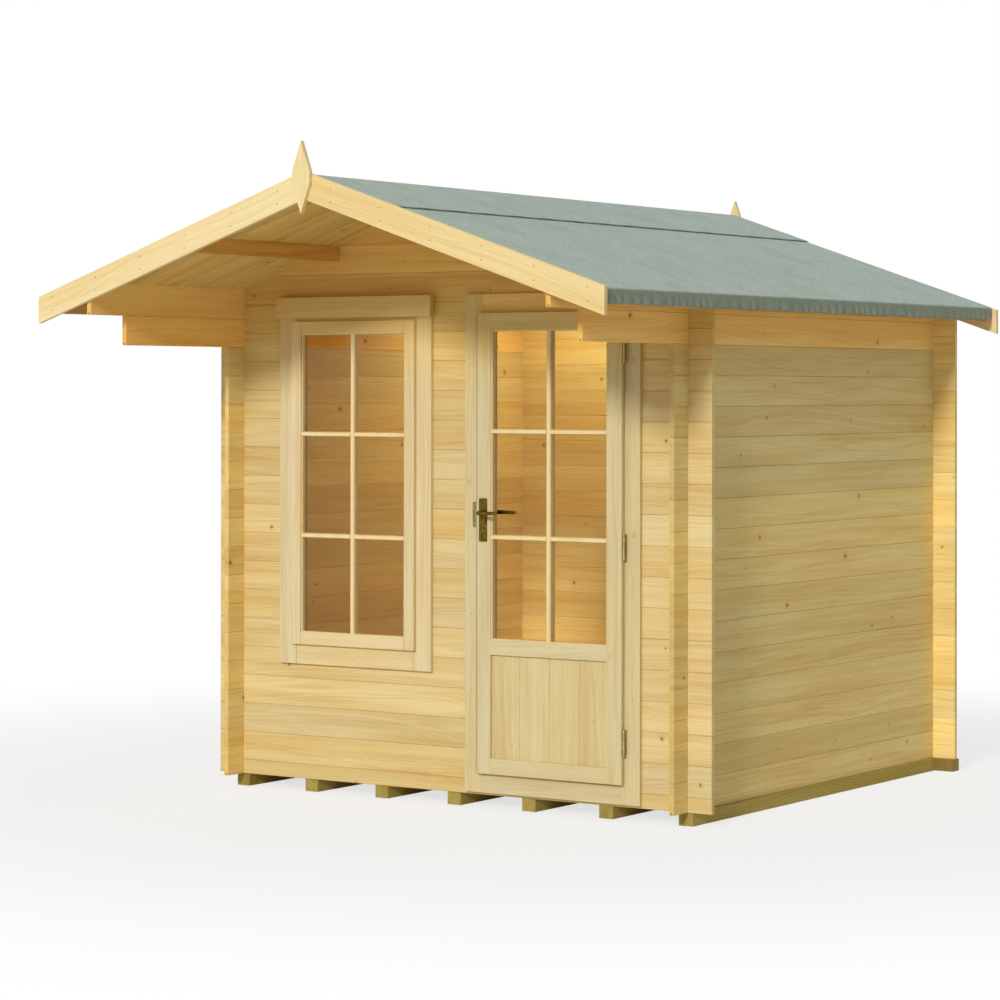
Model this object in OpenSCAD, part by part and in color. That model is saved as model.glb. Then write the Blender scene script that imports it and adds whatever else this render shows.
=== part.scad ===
// Small garden log cabin: interlocking tongue-and-groove pine logs on bearers,
// a felted pitched roof with a deep front overhang, one window and one part-glazed door.
// +X is to the right of someone facing the front, +Y to the back, +Z up.
// The origin lies on the underside of the middle bearer, in the middle of the plan.

/* [Cabin] */
// Width over the outer faces of the side walls
cabin_w = 2082; // [1960:1:2600]
// Depth over the outer faces of the front and back walls
cabin_d = 2056; // [1600:1:2600]
// Number of log courses in each side wall
log_courses = 17; // [16:1:18]

/* [Logs] */
// Laid height of one log
log_h = 114; // [108:1:120]
// Thickness of a log
log_t = 20; // [18:0.5:26]
// Length of a log past the wall that it crosses
log_end = 100; // [60:1:130]
// Width of the tongue along the top of a log
tongue_w = 6; // [5:0.5:8]
// Height of the tongue
tongue_h = 8; // [6:0.5:10]
// Chamfer along the long edges of a log
log_chamfer = 2; // [1.5:0.5:4]
// Play between logs, in the grooves and in the corner notches
log_fit = 0.4; // [0.2:0.1:0.8]

/* [Floor] */
// Number of floor bearers
bearer_count = 7; // [5:1:9]
// Width of a bearer
bearer_w = 60; // [45:1:75]
// Height of a bearer
bearer_h = 50; // [40:1:75]
// Reach of the outer bearers past the side walls
bearer_out = 17; // [5:1:30]
// Setback of the bearer ends from the front wall's face
bearer_setback = 8; // [0:1:15]
// Thickness of the floor
floor_t = 19; // [16:1:28]

/* [Roof] */
// Pitch of the roof in degrees
roof_pitch = 18.8; // [16:0.1:22]
// Overhang of the roof in front of the front wall
roof_front = 927; // [760:1:1000]
// Overhang of the roof behind the back wall
roof_back = 112; // [105:1:200]
// Reach of the roof boards past the side walls
eaves_out = 205; // [140:1:240]
// Thickness of the roof boards
roof_board_t = 16; // [14:1:22]
// Thickness of the roofing felt
felt_t = 3; // [2:0.5:4]
// Slope width of the felt strip on each side of the ridge
ridge_felt_w = 400; // [250:1:480]
// Drop of the felt over the eaves
felt_drop = 55; // [35:1:70]
// Thickness of the eaves batten
batten_t = 16; // [12:1:25]
// Distance of the purlins from the ridge line
purlin_x = 573; // [480:1:640]
// Width of a purlin
purlin_w = 54; // [40:1:70]
// Height of a purlin at its middle
purlin_h = 51; // [45:1:65]
// Front reach of the lower corbel log
corbel_reach = 724; // [400:1:750]

/* [Barge boards] */
// Width of a barge board
barge_h = 95; // [80:1:120]
// Thickness of a barge board
barge_t = 19; // [15:1:25]
// Rise of the barge boards above the felt
barge_rise = 8; // [4:1:16]
// Reach of the barge boards past the roof boards
barge_past = 22; // [8:1:40]
// Drop of the back barge boards below the height of the front ones
back_barge_drop = 14; // [0:1:30]
// Width of a finial
finial_w = 78; // [65:1:100]
// Height of the upright sides of a finial
finial_flat = 40; // [20:1:60]
// Height of the top of those sides above the peak of the barge boards
finial_flat_up = -3; // [-15:1:10]
// Length of a finial
finial_h = 262; // [220:1:300]
// Height of the finial tip above the barge boards
finial_rise = 108; // [80:1:130]
// Drop of the back finial below the height of the front one
back_finial_drop = 55; // [0:1:70]
// Thickness of a finial
finial_t = 18; // [12:1:25]

/* [Joinery] */
// Distance of the door's centre from the middle of the front
door_off = 456; // [440:1:480]
// Distance of the window's centre from the middle of the front
window_off = 460; // [440:1:480]
// Thickness of the frame casing on the wall face
casing_t = 16; // [12:1:22]
// Width of frame casing that shows beside the door leaf
door_casing_w = 66; // [50:1:75]
// Width of frame casing that shows beside the window sash
window_casing_w = 69; // [50:1:75]
// Width of the inside casing beyond the jamb
inner_casing_w = 45; // [30:1:55]
// Reach of the casing over the log above an opening
casing_up = 24; // [12:1:40]
// Thickness of the jambs between the log ends and the opening
jamb_t = 20; // [16:1:26]
// Lap of the door leaf and the sash over their frames
leaf_lap = 15; // [10:1:20]
// Thickness of that lap
lap_t = 17; // [14:1:22]
// Thickness of a glass pane
glass_t = 4; // [3:0.5:6]
// Depth of the groove that holds a pane or panel
glazing_depth = 8; // [6:0.5:10]
// Setback of the glass from the face of its frame
glass_setback = 12; // [8:0.5:13]

/* [Window] */
// Logs between the sill log and the window
window_courses = 4; // [3:1:6]
// Width of the sash
sash_w = 596; // [520:1:620]
// Width of the sash members
sash_member = 48; // [40:1:60]
// Height of the frame below the sash
window_sill_h = 22; // [18:1:40]
// Height of the frame above the sash
window_head_h = 72; // [50:1:90]
// Height of the sill casing on the log below
sill_casing_h = 57; // [40:1:70]
// Play of the sash in its frame
sash_play = 3; // [2:0.5:5]
// Height of the drip board over the window
drip_h = 81; // [60:1:95]
// Thickness of the drip board
drip_t = 21; // [20:1:28]
// Reach of the drip board past the casing
drip_past = 8; // [4:1:15]

/* [Door] */
// Width of the door leaf
door_w = 648; // [600:1:660]
// Width of the door stiles and top rail
door_stile = 66; // [55:1:80]
// Height of the frame above the door leaf
door_head_h = 48; // [40:1:60]
// Height of the threshold above the sill log
threshold_h = 23; // [18:1:30]
// Drop of the threshold over the sill log
threshold_drop = 47; // [30:1:50]
// Height of the glass sight line above the foot of the leaf
door_glass_z = 510; // [400:1:600]
// Height of the rail between panel and glass
mid_rail_h = 57; // [45:1:80]
// Height of the bottom rail
bottom_rail_h = 60; // [45:1:100]
// Thickness of the lower panel
panel_t = 18; // [14:1:20]
// Gap round the moving leaf
door_gap = 5; // [5:0.5:8]
// Gap between the leaf and the jambs, wider so that its edge clears them as it swings
door_side_gap = 7; // [6.5:0.5:9]

/* [Ironmongery] */
// Radius of a hinge barrel
hinge_r = 6; // [5:0.5:8]
// Length of a hinge
hinge_h = 100; // [80:1:120]
// Radius of a hinge pin
hinge_pin_r = 3; // [2.5:0.25:4]
// Play of the hinge pin in its barrel
hinge_play = 0.1; // [0.05:0.05:0.2]
// Gap between the hinge barrel and the leaf edge
hinge_gap = 0.8; // [0.5:0.1:2]
// Height of the lowest hinge above the foot of the leaf
hinge_low = 156; // [120:1:250]
// Height of the middle hinge above the foot of the leaf
hinge_mid = 878; // [600:1:950]
// Drop of the highest hinge below the head of the leaf
hinge_high = 143; // [120:1:250]
// Height of the handle plate
plate_h = 164; // [140:1:200]
// Width of the handle plate
plate_w = 35; // [30:1:40]
// Thickness of the handle plate
plate_t = 4; // [3:0.5:6]
// Radius of the handle plate's corners
plate_r = 4; // [2:0.5:8]
// Drop of the keyhole below the lever
keyhole_drop = 64; // [50:1:72]
// Radius of the round of the keyhole
keyhole_r = 3.5; // [3:0.5:5]
// Length of the keyhole's slot below that round
keyhole_h = 10; // [8:1:14]
// Height of the lever above the foot of the leaf
lever_z = 990; // [850:1:1050]
// Length of the lever arm
lever_len = 85; // [70:1:110]
// Stand-off of the lever arm from the leaf
lever_out = 45; // [38:1:60]
// Radius of the lever neck
lever_r = 8; // [6.5:0.5:10]
// Radius of the lever tip
lever_tip_r = 6; // [5:0.5:8]
// Radius of the bend between the lever's neck and arm
lever_bend = 16; // [12:1:24]
// Radius of the lever's collar
collar_r = 12; // [11:0.5:14]
// Height of the lever's collar
collar_h = 6; // [4:0.5:10]
// Radius of the lever spindle
spindle_r = 4; // [3:0.5:5]
// Play round the lever neck and spindle
lever_play = 0.3; // [0.2:0.1:0.5]
// Height of the keep plate on the jamb
keep_h = 92; // [70:1:110]
// Drop of the keep plate's middle below the lever
keep_drop = 7; // [0:1:15]
// Width of the keep plate
keep_w = 16; // [12:1:20]
// Thickness of the keep plate
keep_t = 10; // [6:1:14]
// Gap between the keep plate and the edge of the leaf
keep_gap = 8; // [6:1:12]

/* [Hidden] */
// Play where a fixed piece seats on another
seat = 0.3;
// Overshoot of a cut past the face that it opens
cut = 10;
$fn = 48;

// Main planes of the walls: half width and half depth over the outer faces
wall_x = cabin_w / 2;
wall_y = cabin_d / 2;
inner_x = wall_x - log_t;
inner_y = wall_y - log_t;
groove_w = tongue_w + 2 * log_fit;
groove_d = tongue_h + log_fit;

// Heights of the log joints; the front and back walls start half a log up
function side_z(k) = bearer_h + k * log_h;
function front_z(k) = bearer_h + (k + 0.5) * log_h;
head_k = log_courses - 1;
head_z = front_z(head_k);
eaves_z = side_z(log_courses);
log_reach_x = wall_x + log_end;
log_reach_y = wall_y + log_end;

// Underside of the roof boards at a distance x from the ridge line
roof_tan = tan(roof_pitch);
function roof_z(x) = eaves_z + (wall_x - abs(x)) * roof_tan;
ridge_z = roof_z(0);
roof_x = wall_x + eaves_out;
roof_y0 = -wall_y - roof_front;
roof_y1 = wall_y + roof_back;
board_v = roof_board_t / cos(roof_pitch);
felt_v = felt_t / cos(roof_pitch);
ridge_felt_x = ridge_felt_w * cos(roof_pitch);
barge_v = barge_h / cos(roof_pitch);
barge_z = ridge_z + board_v + 2 * (felt_v + seat) + barge_rise;
barge_x = roof_x + barge_past;
purlin_z = roof_z(purlin_x) - purlin_h;
gable_rise = ridge_z - front_z(0);
gable_k = ceil(gable_rise / log_h) - 1;

// Depth planes of the joinery, from the front wall's outer face
casing_y0 = -wall_y - seat - casing_t;
casing_y1 = -wall_y - seat;
lining_y0 = -inner_y + seat;
lining_y1 = -inner_y + seat + casing_t;

// Window sizes
window_x = -window_off;
window_z = front_z(window_courses);
sash_x = sash_w / 2;
sash_z0 = window_z + window_sill_h;
sash_z1 = head_z - window_head_h;
window_in_x = sash_x - leaf_lap;
window_cut_x = window_in_x + jamb_t;
sash_y0 = casing_y0 - seat - lap_t;
sash_y1 = -wall_y + glazing_depth;
sash_glass_y = sash_y0 + glass_setback;
window_case_x = sash_x + window_casing_w;
sash_sight_x = sash_x - sash_member;
sash_sight_z0 = sash_z0 + sash_member;
sash_sight_z1 = sash_z1 - sash_member;

// Door sizes
door_x = door_off;
sill_z = front_z(0);
threshold_z = sill_z + threshold_h;
leaf_z0 = threshold_z + door_gap;
leaf_z1 = head_z - door_head_h;
leaf_x = door_w / 2;
door_in_x = leaf_x - leaf_lap;
door_cut_x = door_in_x + jamb_t;
door_case_x = leaf_x + door_casing_w;
leaf_y0 = casing_y0 - door_gap - lap_t;
leaf_y1 = casing_y0 - door_gap;
leaf_y2 = -wall_y + glazing_depth;
leaf_body_x = door_in_x - door_side_gap;
leaf_sight_x = leaf_x - door_stile;
leaf_glass_y = leaf_y0 + glass_setback;
glass_z0 = leaf_z0 + door_glass_z;
mid_rail_z = glass_z0 - mid_rail_h;
bottom_rail_z = leaf_z0 + bottom_rail_h;
top_rail_z = leaf_z1 - door_stile;
hinge_x = door_x + leaf_x + hinge_gap + hinge_r;
hinge_y = leaf_y0 + hinge_r;
hinge_zs = [leaf_z0 + hinge_low, leaf_z0 + hinge_mid, leaf_z1 - hinge_high];
lever_x = door_x - leaf_x + door_stile / 2;
lever_zc = leaf_z0 + lever_z;

pine = [0.90, 0.76, 0.47];
pine_pale = [0.93, 0.86, 0.67];
pine_brown = [0.72, 0.50, 0.27];
treated = [0.55, 0.50, 0.28];
felt_grey = [0.44, 0.52, 0.52];
brass = [0.36, 0.29, 0.16];
steel = [0.55, 0.54, 0.50];
clear = [0.75, 0.82, 0.82, 0.4];

// A flat outline in X and Z, drawn out along Y
module along_y(y0, y1) {
    translate([0, y1, 0])
        rotate([90, 0, 0])
            linear_extrude(y1 - y0)
                children();
}

// A flat outline in Y and Z, drawn out along X
module along_x(x0, x1) {
    translate([x0, 0, 0])
        rotate([90, 0, 90])
            linear_extrude(x1 - x0)
                children();
}

// A flat outline in X and Y, drawn up along Z
module along_z(z0, z1) {
    translate([0, 0, z0])
        linear_extrude(z1 - z0)
            children();
}

// A box from its lowest to its highest corner
module block(low, high) {
    translate(low)
        cube(high - low);
}

// End section of a log: outer face at y = 0, chamfered edges, groove below and tongue above
function log_section(h, groove, tongue) = concat(
    [[0, log_chamfer], [log_chamfer, 0]],
    groove ? [
        [(log_t - groove_w) / 2, 0],
        [(log_t - groove_w) / 2, groove_d],
        [(log_t + groove_w) / 2, groove_d],
        [(log_t + groove_w) / 2, 0]
    ] : [],
    [[log_t - log_chamfer, 0], [log_t, log_chamfer], [log_t, h - log_chamfer], [log_t - log_chamfer, h]],
    tongue ? [
        [(log_t + tongue_w) / 2, h],
        [(log_t + tongue_w) / 2, h + tongue_h],
        [(log_t - tongue_w) / 2, h + tongue_h],
        [(log_t - tongue_w) / 2, h]
    ] : [],
    [[log_chamfer, h], [0, h - log_chamfer]]
);

// A log along X with its outer face towards -Y and its foot at z = 0
module log_bar(x0, x1, h, groove = true, tongue = true) {
    along_x(x0, x1)
        polygon(log_section(h - log_fit, groove, tongue));
}

// Quarter notches, above and below, where a log with its foot at z0 crosses the two walls
// whose outer faces are at +face and -face
module corner_notches(face, z0, z1) {
    for (side = [0, 1])
        mirror([side, 0, 0])
            for (band = [[z0 - cut, z0 + (log_h + log_fit) / 4], [z1 - (log_h + log_fit) / 4, z1 + log_h]])
                block([face - log_t - log_fit, -cut, band[0]], [face + log_fit, log_t + cut, band[1]]);
}

// Everything below the underside of the roof boards
module under_roof() {
    along_y(-2 * cabin_d, 2 * cabin_d)
        polygon([
            [-2 * wall_x, 0], [2 * wall_x, 0], [2 * wall_x, roof_z(2 * wall_x) - seat],
            [0, ridge_z - seat], [-2 * wall_x, roof_z(2 * wall_x) - seat]
        ]);
}

// One log of the front wall, course k, from x0 to x1
module front_log(k, x0, x1) {
    translate([0, -wall_y, 0])
        difference() {
            translate([0, 0, front_z(k)])
                log_bar(x0, x1, log_h);
            corner_notches(wall_x, front_z(k), front_z(k + 1));
        }
}

// The half log that starts the front and back walls
module sill_half_log() {
    translate([0, -wall_y, 0])
        difference() {
            translate([0, 0, bearer_h])
                log_bar(-log_reach_x, log_reach_x, log_h / 2, groove = false);
            corner_notches(wall_x, bearer_h - log_h / 2, sill_z);
        }
}

// The gable logs of the front wall, cut to the roof and pocketed for the purlins
module gable_logs() {
    intersection() {
        difference() {
            union() {
                for (k = [head_k : gable_k])
                    front_log(k, -gable_reach(k), gable_reach(k));
            }
            for (side = [0, 1])
                mirror([side, 0, 0])
                    block(
                        [purlin_x - purlin_w / 2 - seat, -wall_y - cut, purlin_z - seat],
                        [purlin_x + purlin_w / 2 + seat, -inner_y + cut, ridge_z]
                    );
        }
        under_roof();
    }
}

// Half length of gable course k: to the log ends, or to where the roof cuts its foot
function gable_reach(k) = min(log_reach_x, (ridge_z - front_z(k)) / roof_tan);

// One log of the right wall, course k, from the front end y0 to the back
module side_log(k, y0, h = log_h, tongue = true) {
    translate([wall_x, 0, 0])
        rotate([0, 0, 90])
            difference() {
                translate([0, 0, side_z(k)])
                    log_bar(y0, log_reach_y, h, tongue = tongue);
                corner_notches(wall_y, side_z(k), side_z(k + 1));
            }
}

// The ordinary courses of the right wall
module side_wall_logs() {
    for (k = [0 : log_courses - 3])
        side_log(k, -log_reach_y);
}

// The two top courses of the right wall, which run forward to carry the overhang
module side_eaves_logs() {
    side_log(log_courses - 2, -wall_y - corbel_reach);
    intersection() {
        side_log(log_courses - 1, roof_y0, h = log_h + log_t, tongue = false);
        under_roof();
    }
}

module floor_bearers() {
    pitch = 2 * (wall_x + bearer_out - bearer_w / 2) / (bearer_count - 1);
    back_y = wall_y - (log_t + bearer_w) / 2;
    color(treated) {
        for (i = [0 : bearer_count - 1]) {
            x = (i - (bearer_count - 1) / 2) * pitch;
            block(
                [x - bearer_w / 2, -wall_y + bearer_setback, 0],
                [x + bearer_w / 2, back_y - seat, bearer_h]
            );
        }
        block([-log_reach_x, back_y, 0], [log_reach_x, back_y + bearer_w, bearer_h]);
    }
}

module floor() {
    color(pine_pale)
        block(
            [-inner_x + seat, -inner_y + seat, bearer_h],
            [inner_x - seat, inner_y - seat, bearer_h + floor_t]
        );
}

module front_sill_log() {
    color(pine)
        sill_half_log();
}

module front_wall_under_window() {
    color(pine)
        for (k = [0 : window_courses - 1])
            front_log(k, -log_reach_x, door_x - door_cut_x - seat);
}

module front_wall_left() {
    color(pine)
        for (k = [window_courses : head_k - 1])
            front_log(k, -log_reach_x, window_x - window_cut_x - seat);
}

module front_wall_middle() {
    color(pine)
        for (k = [window_courses : head_k - 1])
            front_log(k, window_x + window_cut_x + seat, door_x - door_cut_x - seat);
}

module front_wall_right() {
    color(pine)
        for (k = [0 : head_k - 1])
            front_log(k, door_x + door_cut_x + seat, log_reach_x);
}

module front_gable() {
    color(pine)
        gable_logs();
}

module back_wall() {
    color(pine)
        mirror([0, 1, 0]) {
            sill_half_log();
            for (k = [0 : head_k - 1])
                front_log(k, -log_reach_x, log_reach_x);
            gable_logs();
        }
}

module right_wall() {
    color(pine)
        side_wall_logs();
}

module left_wall() {
    color(pine)
        mirror([1, 0, 0])
            side_wall_logs();
}

module right_eaves_logs() {
    color(pine)
        side_eaves_logs();
}

module left_eaves_logs() {
    color(pine)
        mirror([1, 0, 0])
            side_eaves_logs();
}

module right_purlin() {
    x0 = purlin_x - purlin_w / 2;
    x1 = purlin_x + purlin_w / 2;
    color(pine_brown)
        along_y(roof_y0, roof_y1)
            polygon([[x0, purlin_z], [x1, purlin_z], [x1, roof_z(x1) - seat], [x0, roof_z(x0) - seat]]);
}

module left_purlin() {
    mirror([1, 0, 0])
        right_purlin();
}

// Height of the laid felt above the underside of the roof boards
felt_rise = board_v + seat;

module right_roof_boards() {
    color(pine_brown)
        along_y(roof_y0, roof_y1)
            polygon([
                [0, ridge_z], [roof_x, roof_z(roof_x)],
                [roof_x, roof_z(roof_x) + board_v], [0, ridge_z + board_v]
            ]);
}

module left_roof_boards() {
    mirror([1, 0, 0])
        right_roof_boards();
}

// Felt over one slope, folded down over the eaves
module right_roof_felt() {
    fold_x = roof_x + seat;
    fold_z = roof_z(fold_x) + felt_rise;
    color(felt_grey)
        along_y(roof_y0, roof_y1)
            polygon([
                [0, ridge_z + felt_rise],
                [fold_x, fold_z],
                [fold_x, fold_z - felt_drop],
                [fold_x + felt_t, fold_z - felt_drop],
                [fold_x + felt_t, roof_z(fold_x + felt_t) + felt_rise + felt_v],
                [0, ridge_z + felt_rise + felt_v]
            ]);
}

module left_roof_felt() {
    mirror([1, 0, 0])
        right_roof_felt();
}

// The last strip of felt, laid over the ridge and lapping both slopes
module ridge_felt() {
    rise = felt_rise + felt_v + seat;
    color(felt_grey)
        along_y(roof_y0, roof_y1)
            polygon([
                [-ridge_felt_x, roof_z(ridge_felt_x) + rise],
                [0, ridge_z + rise],
                [ridge_felt_x, roof_z(ridge_felt_x) + rise],
                [ridge_felt_x, roof_z(ridge_felt_x) + rise + felt_v],
                [0, ridge_z + rise + felt_v],
                [-ridge_felt_x, roof_z(ridge_felt_x) + rise + felt_v]
            ]);
}

module right_eaves_batten() {
    x0 = roof_x - batten_t;
    foot_z = roof_z(roof_x) + felt_rise - felt_drop;
    color(pine_brown)
        along_y(roof_y0, roof_y1)
            polygon([
                [x0, foot_z], [roof_x, foot_z],
                [roof_x, roof_z(roof_x) - seat], [x0, roof_z(x0) - seat]
            ]);
}

module left_eaves_batten() {
    mirror([1, 0, 0])
        right_eaves_batten();
}

// One barge board on the right slope, its back face at y1
module barge_board(y0, y1, peak) {
    color(pine_pale)
        along_y(y0, y1)
            polygon([
                [0, peak], [barge_x, peak - barge_x * roof_tan],
                [barge_x, peak - barge_x * roof_tan - barge_v], [0, peak - barge_v]
            ]);
}

module front_barge_right() {
    barge_board(roof_y0 - barge_t, roof_y0, barge_z);
}

module front_barge_left() {
    mirror([1, 0, 0])
        barge_board(roof_y0 - barge_t, roof_y0, barge_z);
}

module back_barge_right() {
    barge_board(roof_y1, roof_y1 + barge_t, barge_z - back_barge_drop);
}

module back_barge_left() {
    mirror([1, 0, 0])
        barge_board(roof_y1, roof_y1 + barge_t, barge_z - back_barge_drop);
}

// Finial: a tall lozenge that covers the mitre of the barge boards
module finial(y0, y1, drop) {
    peak = barge_z - drop;
    half = finial_w / 2;
    flat_z1 = peak + finial_flat_up;
    flat_z0 = flat_z1 - finial_flat;
    color(pine_pale)
        along_y(y0, y1)
            polygon([
                [0, peak + finial_rise], [-half, flat_z1], [-half, flat_z0],
                [0, peak + finial_rise - finial_h], [half, flat_z0], [half, flat_z1]
            ]);
}

module front_finial() {
    finial(roof_y0 - barge_t - finial_t, roof_y0 - barge_t, 0);
}

module back_finial() {
    finial(roof_y1 + barge_t, roof_y1 + barge_t + finial_t, back_finial_drop);
}

// Slot in the foot of a frame piece for the tongue of the log below, whose top is at z
module tongue_slot(x0, x1, z) {
    block(
        [x0, -wall_y + (log_t - groove_w) / 2, z - cut],
        [x1, -wall_y + (log_t + groove_w) / 2, z + groove_d]
    );
}

// A frame post on the left of an opening: flanges clasp the log ends between them.
// in_x and case_x are measured from the middle of the opening.
module frame_post(in_x, cut_x, case_x, z0, z1, log_z0) {
    difference() {
        along_z(z0, z1)
            polygon([
                [-case_x, casing_y0], [-in_x, casing_y0], [-in_x, lining_y1],
                [-cut_x - inner_casing_w, lining_y1], [-cut_x - inner_casing_w, lining_y0],
                [-cut_x, lining_y0], [-cut_x, casing_y1], [-case_x, casing_y1]
            ]);
        block([-case_x - cut, casing_y1, z0 - cut], [cut - in_x, lining_y1 + cut, log_z0 + seat]);
        block([-case_x - cut, casing_y1, head_z - seat], [cut - in_x, lining_y0, z1 + cut]);
        tongue_slot(-case_x, cut - in_x, log_z0);
    }
}

// A frame rail across an opening, between the posts: web next to the log and flanges over it
module frame_rail(in_x, z_in, z_web, z_front, z_back) {
    along_x(-in_x + seat, in_x - seat)
        polygon([
            [casing_y0, z_in], [lining_y1, z_in], [lining_y1, z_back], [lining_y0, z_back],
            [lining_y0, z_web], [casing_y1, z_web], [casing_y1, z_front], [casing_y0, z_front]
        ]);
}

// Left post of the window frame; the right one mirrors it
module window_post() {
    frame_post(
        window_in_x, window_cut_x, window_case_x,
        window_z - sill_casing_h, head_z + casing_up, window_z
    );
}

// Window frame: two posts, a head and a sill, clasping the logs round the opening
module window_frame() {
    color(pine_pale)
        translate([window_x, 0, 0]) {
            window_post();
            mirror([1, 0, 0])
                window_post();
            frame_rail(
                window_in_x, sash_z1 - leaf_lap, head_z - seat,
                head_z + casing_up, head_z + casing_up
            );
            difference() {
                frame_rail(
                    window_in_x, sash_z0 + leaf_lap, window_z + seat,
                    window_z - sill_casing_h, window_z - inner_casing_w
                );
                tongue_slot(-window_cut_x, window_cut_x, window_z);
            }
        }
}

module window_drip_board() {
    color(pine_pale)
        translate([window_x, 0, 0])
            block(
                [-window_case_x - drip_past, casing_y0 - drip_t, head_z + casing_up - drip_h],
                [window_case_x + drip_past, casing_y0, head_z + casing_up]
            );
}

// Sash: lapped over the frame, open for the glass and grooved to hold it
module window_sash() {
    groove = glazing_depth + seat;
    body_x = window_in_x - sash_play;
    body_lap = leaf_lap + sash_play;
    color(pine_pale)
        translate([window_x, 0, 0])
            difference() {
                union() {
                    block([-sash_x, sash_y0, sash_z0], [sash_x, sash_y0 + lap_t, sash_z1]);
                    block(
                        [-body_x, sash_y0 + lap_t / 2, sash_z0 + body_lap],
                        [body_x, sash_y1, sash_z1 - body_lap]
                    );
                }
                block(
                    [-sash_sight_x, sash_y0 - cut, sash_sight_z0],
                    [sash_sight_x, sash_y1 + cut, sash_sight_z1]
                );
                block(
                    [-sash_sight_x - groove, sash_glass_y - seat, sash_sight_z0 - groove],
                    [sash_sight_x + groove, sash_glass_y + glass_t + seat, sash_sight_z1 + groove]
                );
            }
}

module window_glass() {
    color(clear)
        translate([window_x, 0, 0])
            block(
                [-sash_sight_x - glazing_depth, sash_glass_y, sash_sight_z0 - glazing_depth],
                [sash_sight_x + glazing_depth, sash_glass_y + glass_t, sash_sight_z1 + glazing_depth]
            );
}

// Left post of the door frame; the right one mirrors it
module door_post() {
    frame_post(
        door_in_x, door_cut_x, door_case_x,
        sill_z - threshold_drop, head_z + casing_up, sill_z
    );
}

module door_left_jamb() {
    color(pine_pale)
        translate([door_x, 0, 0])
            door_post();
}

module door_right_jamb() {
    color(pine_pale)
        translate([door_x, 0, 0])
            mirror([1, 0, 0])
                door_post();
}

module door_head() {
    color(pine_pale)
        translate([door_x, 0, 0])
            frame_rail(door_in_x, leaf_z1 - leaf_lap, head_z - seat, head_z + casing_up, head_z + casing_up);
}

module door_threshold() {
    color(pine_pale)
        translate([door_x, 0, 0])
            difference() {
                frame_rail(
                    door_in_x, threshold_z, sill_z + seat,
                    sill_z - threshold_drop, bearer_h + floor_t + seat
                );
                tongue_slot(-door_cut_x, door_cut_x, sill_z);
            }
}

module door_keep() {
    x1 = door_x - leaf_x - keep_gap;
    z0 = lever_zc - keep_drop - keep_h / 2;
    color(brass)
        block([x1 - keep_w, casing_y0 - keep_t, z0], [x1, casing_y0, z0 + keep_h]);
}

// Lower half of each hinge: barrel, upright pin and the stub that enters the frame
module frame_hinges() {
    color(steel)
        for (z = hinge_zs) {
            translate([hinge_x, hinge_y, z - hinge_h / 2])
                cylinder(h = hinge_h / 2, r = hinge_r);
            translate([hinge_x, hinge_y, z - hinge_h / 4])
                cylinder(h = hinge_h / 2, r = hinge_pin_r);
            translate([hinge_x, casing_y0, z - hinge_h / 4])
                rotate([90, 0, 0])
                    cylinder(h = casing_y0 - hinge_y, r = hinge_pin_r);
        }
}

// Upper half of each hinge: barrel bored for the pin and the stub that enters the leaf
module door_hinges() {
    color(steel)
        for (z = hinge_zs)
            difference() {
                union() {
                    translate([hinge_x, hinge_y, z + seat])
                        cylinder(h = hinge_h / 2 - seat, r = hinge_r);
                    translate([door_x + leaf_x, hinge_y, z + hinge_h * 3 / 8])
                        rotate([0, 90, 0])
                            cylinder(h = hinge_gap + hinge_r, r = hinge_pin_r);
                }
                translate([hinge_x, hinge_y, z - cut])
                    cylinder(h = cut + hinge_h / 4 + seat, r = hinge_pin_r + hinge_play);
            }
}

// Section of the left stile: lapped edge outside, panel groove inside
module stile_section(groove_y, groove_t) {
    polygon([
        [-leaf_x, leaf_y0], [-leaf_sight_x, leaf_y0],
        [-leaf_sight_x, groove_y - seat], [-leaf_sight_x - glazing_depth - seat, groove_y - seat],
        [-leaf_sight_x - glazing_depth - seat, groove_y + groove_t + seat],
        [-leaf_sight_x, groove_y + groove_t + seat],
        [-leaf_sight_x, leaf_y2], [-leaf_body_x, leaf_y2], [-leaf_body_x, leaf_y1], [-leaf_x, leaf_y1]
    ]);
}

// A whole left stile, grooved for the panel over its length
module left_stile() {
    along_z(leaf_z0, leaf_z1 - leaf_lap - door_gap)
        stile_section(leaf_glass_y, panel_t);
    along_z(leaf_z1 - leaf_lap - door_gap, leaf_z1)
        polygon([
            [-leaf_x, leaf_y0], [-leaf_sight_x, leaf_y0], [-leaf_sight_x, leaf_y1], [-leaf_x, leaf_y1]
        ]);
}

module door_lock_stile() {
    color(pine_pale)
        difference() {
            translate([door_x, 0, 0])
                left_stile();
            translate([lever_x, leaf_y2 + cut, lever_zc])
                rotate([90, 0, 0])
                    cylinder(h = leaf_y2 - leaf_y0 + 2 * cut, r = spindle_r + lever_play);
        }
}

module door_hinge_stile() {
    color(pine_pale)
        translate([door_x, 0, 0])
            mirror([1, 0, 0])
                left_stile();
}

// A rail of the leaf, from z0 to z1, between the stiles
module leaf_rail(z0, z1, groove_under, groove_over) {
    color(pine_pale)
        translate([door_x, 0, 0])
            difference() {
                block([-leaf_sight_x, leaf_y0, z0], [leaf_sight_x, leaf_y2, z1]);
                if (groove_under)
                    block(
                        [-leaf_x, leaf_glass_y - seat, z0 - cut],
                        [leaf_x, leaf_glass_y + panel_t + seat, z0 + glazing_depth + seat]
                    );
                if (groove_over)
                    block(
                        [-leaf_x, leaf_glass_y - seat, z1 - glazing_depth - seat],
                        [leaf_x, leaf_glass_y + panel_t + seat, z1 + cut]
                    );
            }
}

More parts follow.
